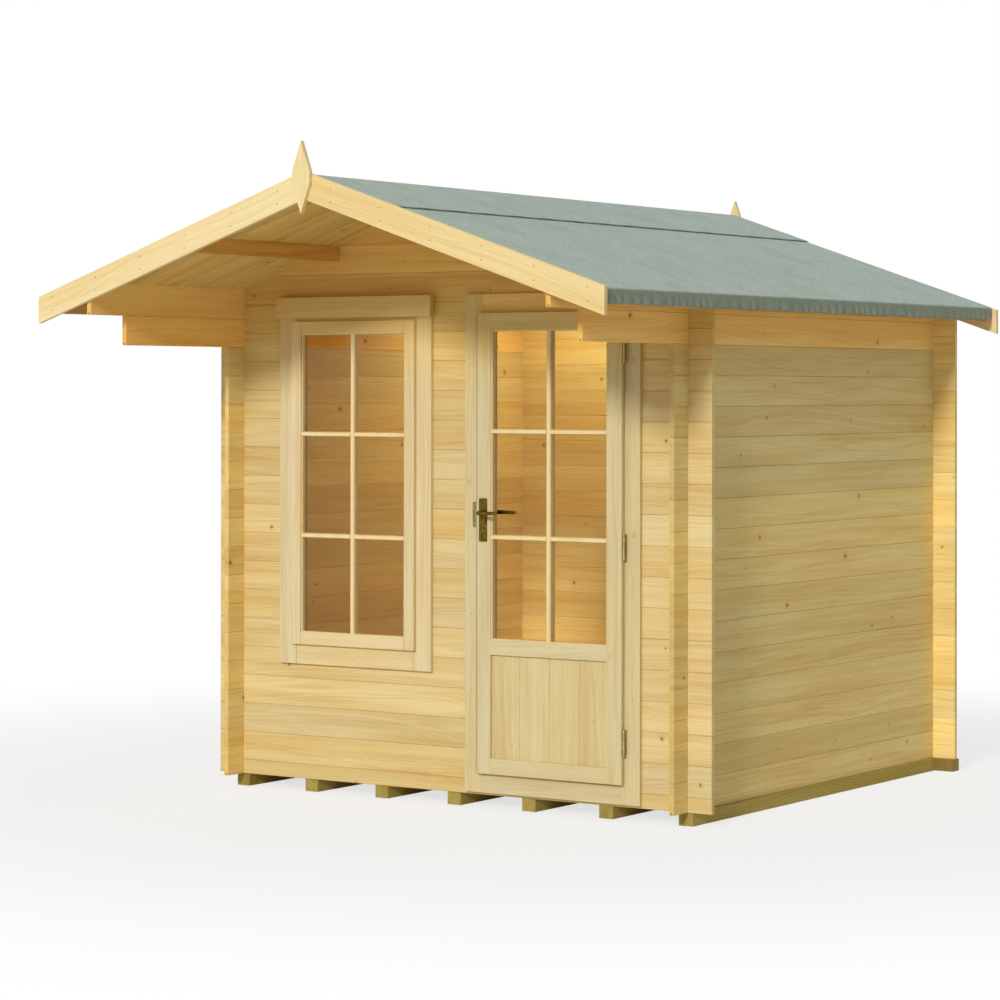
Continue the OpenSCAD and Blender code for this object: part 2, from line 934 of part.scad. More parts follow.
// Top, middle and bottom rails of the leaf; the top one laps the frame head
module door_rails() {
    difference() {
        leaf_rail(top_rail_z, leaf_z1, true, false);
        block(
            [door_x - leaf_x, leaf_y1, leaf_z1 - leaf_lap - door_gap],
            [door_x + leaf_x, leaf_y2 + cut, leaf_z1 + cut]
        );
    }
    leaf_rail(mid_rail_z, glass_z0, true, true);
    leaf_rail(leaf_z0, bottom_rail_z, false, true);
}

module door_panel() {
    color(pine_pale)
        translate([door_x, 0, 0])
            block(
                [-leaf_sight_x - glazing_depth, leaf_glass_y, bottom_rail_z - glazing_depth],
                [leaf_sight_x + glazing_depth, leaf_glass_y + panel_t, mid_rail_z + glazing_depth]
            );
}

module door_glass() {
    color(clear)
        translate([door_x, 0, 0])
            block(
                [-leaf_sight_x - glazing_depth, leaf_glass_y, glass_z0 - glazing_depth],
                [leaf_sight_x + glazing_depth, leaf_glass_y + glass_t, top_rail_z + glazing_depth]
            );
}

// Outline of a handle plate round the lever's axis, with rounded corners
module plate_outline() {
    translate([0, plate_h * (1 / 2 - 2 / 3)]) {
        square([plate_w - 2 * plate_r, plate_h], center = true);
        square([plate_w, plate_h - 2 * plate_r], center = true);
        for (x = [-1, 1], z = [-1, 1])
            translate([x * (plate_w / 2 - plate_r), z * (plate_h / 2 - plate_r)])
                circle(r = plate_r);
    }
}

// Handle plates, one on each face of the leaf, bored for the lever necks and cut for the key
module door_handle_plates() {
    color(brass)
        for (y = [leaf_y0 - plate_t, leaf_y2])
            translate([lever_x, 0, lever_zc])
                difference() {
                    along_y(y, y + plate_t)
                        plate_outline();
                    translate([0, y + plate_t + cut, 0])
                        rotate([90, 0, 0])
                            cylinder(h = plate_t + 2 * cut, r = lever_r + lever_play);
                    translate([0, y + plate_t + cut, -keyhole_drop])
                        rotate([90, 0, 0])
                            cylinder(h = plate_t + 2 * cut, r = keyhole_r);
                    block(
                        [-keyhole_r / 2, y - cut, -keyhole_drop - keyhole_h],
                        [keyhole_r / 2, y + plate_t + cut, -keyhole_drop]
                    );
                }
}

// One lever: neck, collar on the plate, bend, tapering arm and round tip, standing out towards -Y
module lever_arm() {
    neck = lever_out - lever_bend;
    rotate([90, 0, 0])
        cylinder(h = neck, r = lever_r);
    translate([0, seat - plate_t - lever_play, 0])
        rotate([90, 0, 0])
            cylinder(h = collar_h, r = collar_r);
    translate([lever_bend, -neck, 0])
        rotate([0, 0, 180])
            rotate_extrude(angle = 90)
                translate([lever_bend, 0])
                    circle(r = lever_r);
    translate([lever_bend, -lever_out, 0])
        rotate([0, 90, 0])
            cylinder(h = lever_len - lever_bend, r1 = lever_r, r2 = lever_tip_r);
    translate([lever_len, -lever_out, 0])
        sphere(r = lever_tip_r);
}

// Lever handle: an arm on each face of the leaf, joined by the spindle
module door_lever() {
    color(brass)
        translate([lever_x, 0, lever_zc]) {
            translate([0, leaf_y2 + cut, 0])
                rotate([90, 0, 0])
                    cylinder(h = leaf_y2 - leaf_y0 + 2 * cut, r = spindle_r);
            translate([0, leaf_y0 - seat, 0])
                lever_arm();
            translate([0, leaf_y2 + seat, 0])
                mirror([0, 1, 0])
                    lever_arm();
        }
}

floor_bearers();
floor();
front_sill_log();
front_wall_under_window();
front_wall_left();
front_wall_middle();
front_wall_right();
front_gable();
back_wall();
left_wall();
right_wall();
left_eaves_logs();
right_eaves_logs();
left_purlin();
right_purlin();
left_roof_boards();
right_roof_boards();
left_roof_felt();
right_roof_felt();
ridge_felt();
left_eaves_batten();
right_eaves_batten();
front_barge_left();
front_barge_right();
back_barge_left();
back_barge_right();
front_finial();
back_finial();
window_frame();
window_drip_board();
window_sash();
window_glass();
door_left_jamb();
door_right_jamb();
door_head();
door_threshold();
door_keep();
frame_hinges();
door_lock_stile();
door_hinge_stile();
door_rails();
door_panel();
door_glass();
door_hinges();
door_handle_plates();
door_lever();
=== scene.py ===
"""Looks of the log cabin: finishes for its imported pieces, and the boards, felt, bars, nails and
screws that go on them."""

import bpy
import numpy as np
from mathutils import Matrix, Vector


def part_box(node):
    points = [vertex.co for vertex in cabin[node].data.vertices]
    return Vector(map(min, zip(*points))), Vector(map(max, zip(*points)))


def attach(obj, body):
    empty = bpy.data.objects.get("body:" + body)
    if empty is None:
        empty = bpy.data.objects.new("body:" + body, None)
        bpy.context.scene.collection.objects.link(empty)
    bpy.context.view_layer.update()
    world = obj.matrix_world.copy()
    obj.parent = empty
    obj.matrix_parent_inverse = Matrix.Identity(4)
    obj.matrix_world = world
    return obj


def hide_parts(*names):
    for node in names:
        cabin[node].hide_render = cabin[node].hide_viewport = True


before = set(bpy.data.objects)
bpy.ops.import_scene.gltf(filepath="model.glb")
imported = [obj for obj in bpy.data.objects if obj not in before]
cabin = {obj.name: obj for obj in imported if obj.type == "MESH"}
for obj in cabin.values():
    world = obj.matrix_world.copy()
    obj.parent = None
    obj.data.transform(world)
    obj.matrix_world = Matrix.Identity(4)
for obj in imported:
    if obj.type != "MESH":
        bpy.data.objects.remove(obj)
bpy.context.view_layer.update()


# Bearers: seven square runners of rough sawn softwood and a cross piece under the back wall,
# pressure treated, so the pine has turned olive brown. They lie on the ground and carry the floor
# and the walls.
X, Y, Z = 0, 1, 2


def srgb(red, green, blue):
    """Linear colour of three screen values, 0 to 255: ((c + 0.055) / 1.055) to the power 2.4."""
    c = np.array([red, green, blue]) / 255.0
    return (*np.where(c > 0.04045, ((c + 0.055) / 1.055) ** 2.4, c / 12.92), 1.0)


def new_finish(name):
    """Fresh material; returns it, its node tree and the shader in it."""
    material = bpy.data.materials.new(name)
    material.use_nodes = True
    return material, material.node_tree, material.node_tree.nodes["Principled BSDF"]


def feed(tree, node, inputs):
    """Feeds the named or numbered inputs of a node, each with a plain value or with a socket."""
    for key, value in inputs.items():
        if isinstance(value, bpy.types.NodeSocket):
            tree.links.new(value, node.inputs[key])
        else:
            node.inputs[key].default_value = value


def place(tree, kind, inputs=None, **settings):
    """Adds one shader node with its settings and inputs."""
    new = tree.nodes.new("ShaderNode" + kind)
    for key, value in settings.items():
        setattr(new, key, value)
    feed(tree, new, inputs or {})
    return new


def calc(tree, operation, *values, clamp=False):
    """Socket of a Math node that works on one, two or three values."""
    return place(tree, "Math", dict(enumerate(values)), operation=operation,
                 use_clamp=clamp).outputs[0]


def blend(tree, share, first, second, how="MIX"):
    """Socket of a colour mix: first where share is 0, second where it is 1."""
    return place(tree, "Mix", {0: share, 6: first, 7: second}, data_type="RGBA",
                 blend_type=how).outputs[2]


def either(tree, share, first, second):
    """Socket of a mix of two numbers: first where share is 0, second where it is 1."""
    return place(tree, "Mix", {0: share, 2: first, 3: second}, data_type="FLOAT").outputs[0]


def ramp(tree, value, low, high, to_low=0.0, to_high=1.0):
    """Socket of a smooth step from to_low at low to to_high at high."""
    return place(tree, "MapRange", {"Value": value, 1: low, 2: high, 3: to_low, 4: to_high},
                 interpolation_type="SMOOTHSTEP").outputs[0]


def noise(tree, spot, scale, detail, roughness=0.5):
    """Socket of a cloudy noise at a point; spot is a point's socket or the three values of one."""
    if isinstance(spot, tuple):
        spot = place(tree, "CombineXYZ", dict(enumerate(spot))).outputs[0]
    return place(tree, "TexNoise", {
        "Vector": spot, "Scale": scale, "Detail": detail, "Roughness": roughness}).outputs["Fac"]


def rough_skin(tree, height, strength, distance):
    """Socket of a bumpy normal from a height."""
    return place(tree, "Bump", {
        "Height": height, "Strength": strength, "Distance": distance}).outputs[0]


def new_group(name, inputs, outputs):
    """Empty shader group with named number sockets; returns its tree, input and output nodes."""
    tree = bpy.data.node_groups.new(name, "ShaderNodeTree")
    for side, labels in (("INPUT", inputs), ("OUTPUT", outputs)):
        for label in labels:
            tree.interface.new_socket(label, in_out=side, socket_type="NodeSocketFloat")
    return tree, tree.nodes.new("NodeGroupInput"), tree.nodes.new("NodeGroupOutput")


def pine_grain():
    """Sawn softwood as a solid: yearly rings are cylinders round a pith that wanders beside the
    board, ring = fraction of (distance from the pith / ring width), bent round knots that sit
    along the board."""
    ring_width, ring_ripple = 0.0062, 1.5
    pith_least, pith_spread, pith_aside, pith_wander = 0.02, 0.07, 0.11, 0.13
    knots_per_metre, knot_belt, knot_radius = 2.3, 0.082, 0.0086
    knot_least, knot_sure, knot_ragged, knot_stretch = 0.0012, 0.0022, 0.004, 0.85
    tree, given, made = new_group(
        "pine_grain", ("Along", "Across", "Depth", "Seed"),
        ("Ring", "Streak", "Fibre", "Knot", "Halo", "Patch", "Tone", "Warmth"))
    along, across, depth, seed = (given.outputs[i] for i in range(4))

    def times(value, factor):
        """Value times factor."""
        return calc(tree, "MULTIPLY", value, factor)

    def less(value, other):
        """Value minus other."""
        return calc(tree, "SUBTRACT", value, other)

    def distance(first, second):
        """Root of the sum of two squares."""
        return calc(tree, "SQRT", calc(
            tree, "ADD", calc(tree, "POWER", first, 2.0), calc(tree, "POWER", second, 2.0)))

    draw = place(tree, "TexWhiteNoise", {"W": seed}, noise_dimensions="1D").outputs["Color"]
    chance = place(tree, "SeparateColor", {"Color": draw}).outputs
    shifted = calc(tree, "MULTIPLY_ADD", seed, 3.71, along)

    counted = times(shifted, knots_per_metre)
    cell = place(tree, "TexVoronoi", {"W": counted, "Scale": 1.0}, voronoi_dimensions="1D").outputs
    knot_draw = place(tree, "SeparateColor", {"Color": cell["Color"]}).outputs
    knot_along = calc(tree, "DIVIDE", less(counted, cell["W"]), knots_per_metre)
    knot_across = less(across, times(less(knot_draw[1], 0.5), knot_belt))
    knot_size = times(ramp(tree, knot_draw[2], 0.5, 1.1), knot_radius)
    ragged = less(noise(tree, (along, across, depth), 90.0, 2.0), 0.5)
    knot_far = distance(times(knot_along, knot_stretch), knot_across)
    knot_far = calc(tree, "MULTIPLY_ADD", ragged, knot_ragged, knot_far)
    knot_far = calc(tree, "DIVIDE", knot_far, calc(tree, "MAXIMUM", knot_size, 0.0004))
    grown = ramp(tree, knot_size, knot_least, knot_sure)
    knot = calc(tree, "MULTIPLY", ramp(tree, knot_far, 0.8, 1.1, 1.0, 0.0), grown)
    halo = calc(tree, "MULTIPLY", ramp(tree, knot_far, 0.8, 3.4, 1.0, 0.0), grown)
    bent = calc(tree, "MULTIPLY_ADD", times(knot_across, halo), -0.75, across)

    slow = place(tree, "TexNoise", {"W": times(shifted, 0.9), "Scale": 1.0, "Detail": 1.0},
                 noise_dimensions="1D").outputs["Fac"]
    pith_across = calc(tree, "MULTIPLY_ADD", less(slow, 0.5), pith_wander, times(
        less(chance[0], 0.5), pith_aside))
    pith_depth = calc(tree, "MULTIPLY_ADD", chance[1], pith_spread, pith_least)
    radius = distance(less(bent, pith_across), less(depth, pith_depth))
    ripple = noise(tree, (times(shifted, 2.6), times(bent, 30.0), times(depth, 30.0)), 1.0, 3.0)
    turns = calc(tree, "FRACT", calc(
        tree, "MULTIPLY_ADD", ripple, ring_ripple, calc(tree, "DIVIDE", radius, ring_width)))
    ring = calc(tree, "MULTIPLY", ramp(tree, turns, 0.3, 0.85),
                ramp(tree, turns, 0.88, 1.0, 1.0, 0.0))
    streak = noise(tree, (times(shifted, 1.7), times(bent, 42.0), calc(
        tree, "MULTIPLY_ADD", seed, 5.3, times(depth, 20.0))), 1.0, 4.0, 0.6)
    fibre = noise(tree, (times(shifted, 14.0), times(across, 900.0), times(depth, 900.0)), 1.0, 2.0)
    patch = noise(tree, (times(shifted, 1.2), times(across, 13.0), calc(
        tree, "MULTIPLY_ADD", seed, 2.9, depth)), 1.0, 2.0)
    feed(tree, made, {"Ring": ring, "Streak": streak, "Fibre": fibre, "Knot": knot, "Halo": halo,
                      "Patch": patch, "Tone": chance[2], "Warmth": chance[0]})
    return tree


grain_group = pine_grain()


def timber(name, grain, face, seed, pale, dark, boards=None, middle=(0.0, 0.0), turn=0.0, knots=1.0,
           spread=0.16, rough=0.62, shoulders=None, eaves_shade=None, edge=None):
    """Wood whose fibres run along axis number grain, seen on faces that spread along axis number
    face. boards = (start, pitch) gives each board across the face its own rings, knots and tone.
    middle holds the centre across the face and in depth. turn slants the whole pattern about Y.
    shoulders = (axis, centre, half) turns the fibres by 90 degrees outside a joint and draws the
    joint's hair line. sheltered = (low, high) paints the shade under the roof into the colour,
    warmer and darker from height low to high. edge = (axis, where, reach) paints a dark shadow
    line along an eased edge."""
    halo_brown, knot_brown = srgb(188, 128, 62), srgb(124, 80, 40)
    joint_brown, edge_shadow_brown = srgb(112, 82, 46), srgb(136, 112, 70)
    eaves_shade_tint, end_grain_tint = (1.06, 0.95, 0.62, 1.0), (0.78, 0.68, 0.52, 1.0)
    ring_share, streak_share, cut_share, line_share = 0.3, 0.42, 0.45, 0.55
    halo_share, knot_share, shoulder_centre = 0.35 * knots, 0.78 * knots, 0.03
    material, tree, shader = new_finish(name)
    coords = place(tree, "TexCoord").outputs
    xyz, normal = (place(tree, "SeparateXYZ", {0: place(tree, "Mapping", {
        "Vector": coords[kind], "Rotation": (0.0, turn, 0.0)}).outputs[0]}).outputs
        for kind in ("Object", "Normal"))
    along, across = xyz[grain], xyz[face]
    depth = calc(tree, "SUBTRACT", xyz[X + Y + Z - grain - face], middle[1])
    end = calc(tree, "ABSOLUTE", normal[grain])
    own = seed
    if boards:
        start, pitch = boards
        count = calc(tree, "DIVIDE", calc(tree, "SUBTRACT", across, start), pitch)
        number = calc(tree, "FLOOR", count)
        across = calc(tree, "MULTIPLY", calc(
            tree, "SUBTRACT", calc(tree, "SUBTRACT", count, number), 0.5), pitch)
        own = calc(tree, "MULTIPLY_ADD", number, 1.37, seed)
    else:
        across = calc(tree, "SUBTRACT", across, middle[0])
    if shoulders:
        axis, centre, half = shoulders
        aside = calc(tree, "SUBTRACT", xyz[axis], centre)
        past = calc(tree, "SUBTRACT", calc(tree, "ABSOLUTE", aside), half)
        beyond = calc(tree, "GREATER_THAN", past, 0.0)
        line = ramp(tree, calc(tree, "ABSOLUTE", past), 0.0003, 0.0014, 1.0, 0.0)
        along = either(tree, beyond, along, xyz[face])
        across = either(tree, beyond, across, calc(tree, "SUBTRACT", past, shoulder_centre))
        end = either(tree, beyond, end, calc(tree, "ABSOLUTE", normal[face]))
        own = calc(tree, "MULTIPLY_ADD", calc(
            tree, "MULTIPLY", beyond, calc(tree, "SIGN", aside)), 2.23, own)
    wood = place(tree, "Group", {"Along": along, "Across": across, "Depth": depth, "Seed": own},
                 node_tree=grain_group).outputs

    late_wood = calc(tree, "MULTIPLY_ADD", wood["Ring"], ring_share, calc(
        tree, "MULTIPLY", ramp(tree, wood["Streak"], 0.36, 0.74), streak_share))
    late_wood = calc(tree, "ADD", late_wood, ramp(
        tree, wood["Patch"], 0.38, 0.7, -0.06, 0.26), clamp=True)
    colour = blend(tree, late_wood, pale, dark)
    colour = blend(tree, calc(tree, "MULTIPLY", wood["Halo"], halo_share), colour, halo_brown)
    tone = calc(tree, "MULTIPLY_ADD", calc(tree, "SUBTRACT", wood["Tone"], 0.5), spread, calc(
        tree, "MULTIPLY_ADD", wood["Fibre"], 0.1, 0.95))
    warmth = calc(tree, "MULTIPLY_ADD", calc(
        tree, "SUBTRACT", wood["Patch"], 0.5), -1.2, wood["Warmth"])
    tint = place(tree, "CombineColor", {
        0: tone, 1: calc(tree, "MULTIPLY", tone, calc(tree, "MULTIPLY_ADD", warmth, 0.07, 0.96)),
        2: calc(tree, "MULTIPLY", tone, calc(tree, "MULTIPLY_ADD", warmth, 0.26, 0.86))}).outputs[0]
    colour = blend(tree, 1.0, colour, tint, "MULTIPLY")
    # Painted shade of the roof: from height low to high the colour turns warmer and darker.
    if eaves_shade:
        colour = blend(tree, ramp(tree, xyz[Z], *eaves_shade), colour, eaves_shade_tint, "MULTIPLY")
    # Painted shadow line: dark brown, strongest at the edge and gone at reach from it.
    if edge:
        axis, where, reach = edge
        off = calc(tree, "ABSOLUTE", calc(tree, "SUBTRACT", xyz[axis], where))
        colour = blend(tree, ramp(tree, off, 0.0, reach, 0.62, 0.0), colour, edge_shadow_brown)
    colour = blend(tree, calc(tree, "MULTIPLY", wood["Knot"], knot_share), colour, knot_brown)
    cut_across = calc(tree, "MULTIPLY", ramp(tree, end, 0.7, 0.9), cut_share)
    colour = blend(tree, cut_across, colour, end_grain_tint, "MULTIPLY")
    height = calc(tree, "MULTIPLY_ADD", wood["Ring"], 0.35, calc(
        tree, "MULTIPLY", wood["Fibre"], 0.4))
    if shoulders:
        colour = blend(tree, calc(tree, "MULTIPLY", line, line_share), colour, joint_brown)
        height = calc(tree, "SUBTRACT", height, line)
    feed(tree, shader, {
        "Base Color": colour, "Specular IOR Level": 0.25,
        "Roughness": calc(tree, "MULTIPLY_ADD", wood["Fibre"], 0.22, rough - 0.1),
        "Normal": rough_skin(tree, height, 0.3, 0.0012)})
    return material


def finish_with(material, *names):
    """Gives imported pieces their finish."""
    for name in names:
        cabin[name].data.materials.clear()
        cabin[name].data.materials.append(material)


bearer_start, bearer_pitch = -1.1993, 0.3427
cross_piece_joint = (Y, -0.1, 1.088)
finish_with(timber("treated_softwood", Y, X, 4.0, srgb(178, 162, 92), srgb(134, 118, 50),
                   boards=(bearer_start, bearer_pitch), middle=(0.0, 0.02), rough=0.85,
                   shoulders=cross_piece_joint), "floor_bearers")


# Floor: planed pine boards laid across the bearers inside the walls, tongued together, with a fine
# V along each joint. They show through the panes and the open door.
def set_up(name, data):
    """Puts an object of that name and data into the scene, at the origin."""
    thing = bpy.data.objects.new(name, data)
    bpy.context.scene.collection.objects.link(thing)
    return thing


def new_piece(name, points, faces, material, slot, body="cabin", smooth=False):
    """Mesh object from an array of points and lists of corner numbers; it rides on a body."""
    mesh = bpy.data.meshes.new(name)
    mesh.from_pydata(np.asarray(points, float).reshape(-1, 3).tolist(), [], faces)
    mesh.polygons.foreach_set("use_smooth", np.full(len(mesh.polygons), smooth))
    mesh.materials.append(material)
    mesh.update()
    piece = set_up(name, mesh)
    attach(piece, body)
    return piece


def spots(x, y, z):
    """Points from three coordinates, each a number or an array of numbers."""
    return np.stack(np.broadcast_arrays(x, y, z), -1)


def bars(outline, starts, along, across, up, length):
    """Bars of one closed outline: point = start + u across + v up + s along, with (u, v) on the
    outline, anticlockwise seen against along, and s = 0 or the bars' length. Both ends are
    closed."""
    outline, starts = np.asarray(outline, float), np.atleast_2d(np.asarray(starts, float))
    along, across, up = (np.asarray(v, float) for v in (along, across, up))
    corners = len(outline)
    ring = outline[:, :1] * across + outline[:, 1:] * up
    points = starts[:, None, None] + ring + np.array([0.0, length])[:, None, None] * along
    first = (np.arange(len(starts)) * 2 * corners)[:, None]
    i = np.arange(corners)
    j = (i + 1) % corners
    sides = np.stack([first + i, first + j, first + corners + j, first + corners + i], -1)
    sides = sides.reshape(-1, 4)
    ends = np.concatenate([first + i[::-1], first + corners + i])
    if np.dot(np.cross(across, up), along) < 0:
        sides, ends = sides[:, ::-1], ends[:, ::-1]
    return points.reshape(-1, 3), sides.tolist() + ends.tolist()


def board_outline(width, thick, vee, both=False):
    """Section of a board from u = 0 to width and v = 0 to thick, its upper corners eased by vee,
    and its lower ones too if both faces have a V joint."""
    low = [(vee, 0), (width - vee, 0), (width, vee)] if both else [(0, 0), (width, 0)]
    high = [(width, thick - vee), (width - vee, thick), (vee, thick), (0, thick - vee)]
    return low + high + ([(0, vee)] if both else [])


floor_rows, floor_gap, floor_vee = 18, 0.0006, 0.0015
floor_low, floor_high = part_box("floor")
floor_row = (floor_high[Y] - floor_low[Y]) / floor_rows
floor_boards = new_piece("floor_boards", *bars(
    board_outline(floor_row - floor_gap, floor_high[Z] - floor_low[Z], floor_vee),
    spots(floor_low[X], floor_low[Y] + np.arange(floor_rows) * floor_row, floor_low[Z]),
    (1, 0, 0), (0, 1, 0), (0, 0, 1), floor_high[X] - floor_low[X]),
    timber("floor_pine", X, Y, 31.0, srgb(222, 190, 128), srgb(190, 144, 80),
           boards=(floor_low[Y], floor_row), middle=(0.0, 0.06), rough=0.5), "floor_boards")
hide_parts("floor")


# Walls: planed spruce logs 20 mm thick, tongued and grooved with eased edges, notched into each
# other at the corners and left unpainted. Every log keeps its tree's colour. Painted shade of the
# roof makes the gable, eaves and top front logs warmer and darker; the back and left walls are
# painted lighter for the light they catch.
log_height = 0.114
lowest_joint = {X: -0.007, Y: 0.050}
wall_x, wall_y = 1.031, 1.018
log_tones = {
    "plain": (srgb(222, 201, 144), srgb(201, 168, 104)),
    # gable and warm: painted shade of the roof, darker and more orange, for the gable and eaves
    # logs under it.
    "gable": (srgb(238, 199, 113), srgb(218, 167, 82)),
    "warm": (srgb(247, 208, 122), srgb(227, 176, 90)),
    # bright: painted light, a lighter tone for the back and left walls for the light they catch.
    "bright": (srgb(242, 218, 146), srgb(221, 182, 104)),
    "golden": (srgb(226, 205, 137), srgb(204, 169, 93))}
for number, (node, grain, middle, tone) in enumerate((
        ("front_sill_log", X, -wall_y, "plain"),
        ("front_wall_under_window", X, -wall_y, "plain"),
        ("front_wall_left", X, -wall_y, "plain"),
        ("front_wall_middle", X, -wall_y, "plain"),
        ("front_wall_right", X, -wall_y, "plain"),
        ("front_gable", X, -wall_y, "gable"),
        ("back_wall", X, wall_y, "bright"),
        ("left_wall", Y, -wall_x, "bright"),
        ("right_wall", Y, wall_x, "golden"),
        ("left_eaves_logs", Y, -wall_x, "warm"),
        ("right_eaves_logs", Y, wall_x, "warm"))):
    # The front walls' top logs get painted shade of the roof from 1.4 m up.
    finish_with(timber("spruce_log_" + node, grain, Z, 40.0 + 7.31 * number, *log_tones[tone],
                       boards=(lowest_joint[grain], log_height), middle=(0.0, middle),
                       eaves_shade=(1.4, 2.0) if tone == "plain" else None), node)


# Purlins: one planed beam under each slope, let into both gables and running out to the front barge
# boards. They are whole beams, a little browner than the logs, partly as painted shade of the roof.
def middle_of(node, axis):
    """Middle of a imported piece's box along one axis."""
    low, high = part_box(node)
    return (low[axis] + high[axis]) / 2


finish_with(timber("purlin_spruce", Y, Z, 97.0, srgb(226, 184, 98), srgb(194, 136, 54),
                   middle=(middle_of("right_purlin", Z), 0.0)), "left_purlin", "right_purlin")


# Roof boards: tongued boards nailed side by side from ridge to eaves, with the V joints underneath,
# where they show inside and under the front of the roof. The felt hides their tops.
roof_tan = 0.34043
roof_slope = np.arctan(roof_tan)
down_slope = np.array([np.cos(roof_slope), 0.0, -np.sin(roof_slope)])
off_slope = np.array([np.sin(roof_slope), 0.0, np.cos(roof_slope)])
roof_rows, roof_thick, roof_gap, roof_vee = 34, 0.016, 0.0006, 0.0022
off_purlins, ridge_gap, eaves_back, end_reach = 0.0001, 0.0002, 0.006, 0.02
roof_low, roof_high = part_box("right_roof_boards")
ridge_under = roof_high[Z] - roof_thick / np.cos(roof_slope)
roof_row = (roof_high[Y] - roof_low[Y]) / roof_rows
roof_y = roof_low[Y] + np.arange(roof_rows) * roof_row
for side, hand in ((1, "right"), (-1, "left")):
    points, faces = bars(
        board_outline(roof_row - roof_gap, roof_thick, roof_vee, both=True),
        spots(0.0, roof_y, ridge_under) + off_slope * off_purlins,
        down_slope, (0, 1, 0), off_slope, roof_high[X] / np.cos(roof_slope))
    upper = points[:, X] < end_reach
    points[upper] -= down_slope * (points[upper, :1] / down_slope[X] - ridge_gap)
    lower = points[:, X] > roof_high[X] - end_reach
    points[lower] -= down_slope * ((points[lower, :1] - roof_high[X] + eaves_back) / down_slope[X])
    if side < 0:
        points = points * (-1, 1, 1)
        faces = [face[::-1] for face in faces]
    roof_boards = new_piece(hand + "_roof_boards_laid", points, faces, timber(
        "roof_spruce_" + hand, X, Y, 120.0 + side * 9.0, srgb(228, 198, 116), srgb(190, 148, 72),
        boards=(roof_low[Y], roof_row), turn=-side * roof_slope), "roof_timber")
    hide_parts(hand + "_roof_boards")


# Felt: bitumen sheet with green-grey mineral grit, one width rolled out along each slope and a
# strip over the ridge. Clout nails hold the laps and the edge that is folded down over the eaves.
def thick_sheet(upper, lower):
    """Closed sheet from two point grids of rows by columns: the upper face, the lower face turned
    over, and a strip of faces round the rim that joins them."""
    rows, columns = upper.shape[:2]
    number = np.arange(rows * columns).reshape(rows, columns)
    quad = np.stack([number[:-1, :-1], number[1:, :-1], number[1:, 1:], number[:-1, 1:]], -1)
    quad = quad.reshape(-1, 4)
    rim = np.concatenate([number[0, :-1], number[:-1, -1], number[-1, :0:-1], number[:0:-1, 0]])
    after = np.roll(rim, -1)
    below = rows * columns
    strip = np.stack([rim, after, after + below, rim + below], -1)
    return (np.concatenate([upper.reshape(-1, 3), lower.reshape(-1, 3)]),
            quad.tolist() + (quad[:, ::-1] + below).tolist() + strip.tolist())


def grid_normals(grid):
    """Unit normals of a point grid: the cross product of its row step and its column step."""
    normal = np.cross(np.gradient(grid, axis=0), np.gradient(grid, axis=1))
    return normal / np.linalg.norm(normal, axis=-1, keepdims=True)


def mineral_felt(name, slant):
    """Grit of two greys pressed into bitumen, thinner in streaks down the slope, with painted shade
    on the hanging edge, where upright faces turn dark olive; slant is the roof's angle."""
    dark_grit, pale_grit, bare_speck = srgb(165, 183, 174), srgb(204, 216, 206), srgb(98, 113, 107)
    damp_cloud, washed_streak = srgb(142, 162, 154), srgb(206, 214, 196)
    # Painted shade: the colour of the felt's upright faces, the fold and the drop.
    painted_drop_shade = srgb(90, 95, 60)
    material, tree, shader = new_finish(name)
    coords = place(tree, "TexCoord").outputs
    flat = place(tree, "Mapping", {
        "Vector": coords["Object"], "Rotation": (0.0, slant, 0.0)}).outputs[0]
    down = place(tree, "Mapping", {"Vector": flat, "Scale": (1.6, 22.0, 1.0)}).outputs[0]
    grit = place(tree, "TexVoronoi", {"Vector": flat, "Scale": 420.0}).outputs
    pick = place(tree, "SeparateColor", {"Color": grit["Color"]}).outputs[0]
    hang = calc(tree, "ABSOLUTE", place(tree, "SeparateXYZ", {0: coords["Normal"]}).outputs[X])
    colour = blend(tree, ramp(tree, pick, 0.15, 0.95), dark_grit, pale_grit)
    for share, over in (
            (ramp(tree, pick, 0.0, 0.12, 0.75, 0.0), bare_speck),
            (ramp(tree, noise(tree, flat, 5.5, 5.0, 0.65), 0.42, 0.72, 0.0, 0.3), damp_cloud),
            (ramp(tree, noise(tree, down, 1.0, 3.0), 0.5, 0.8, 0.0, 0.28), washed_streak),
            (ramp(tree, hang, 0.55, 0.95, 0.0, 0.64), painted_drop_shade)):
        colour = blend(tree, share, colour, over)
    feed(tree, shader, {
        "Base Color": colour, "Roughness": ramp(tree, pick, 0.0, 1.0, 0.82, 0.98),
        "Specular IOR Level": 0.2, "Normal": rough_skin(tree, grit["Distance"], 0.5, 0.001)})
    return material


felt_thick, fold_radius, nail_step = 0.003, 0.016, 0.132
felt_seat, edge_up = 0.0003, 0.003
felt_low, felt_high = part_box("right_roof_felt")
board_top = roof_high[Z] + felt_seat
eaves_x = felt_high[X] - felt_thick
eaves_z = board_top - eaves_x * roof_tan
felt_y = np.linspace(felt_low[Y], felt_high[Y], 376)


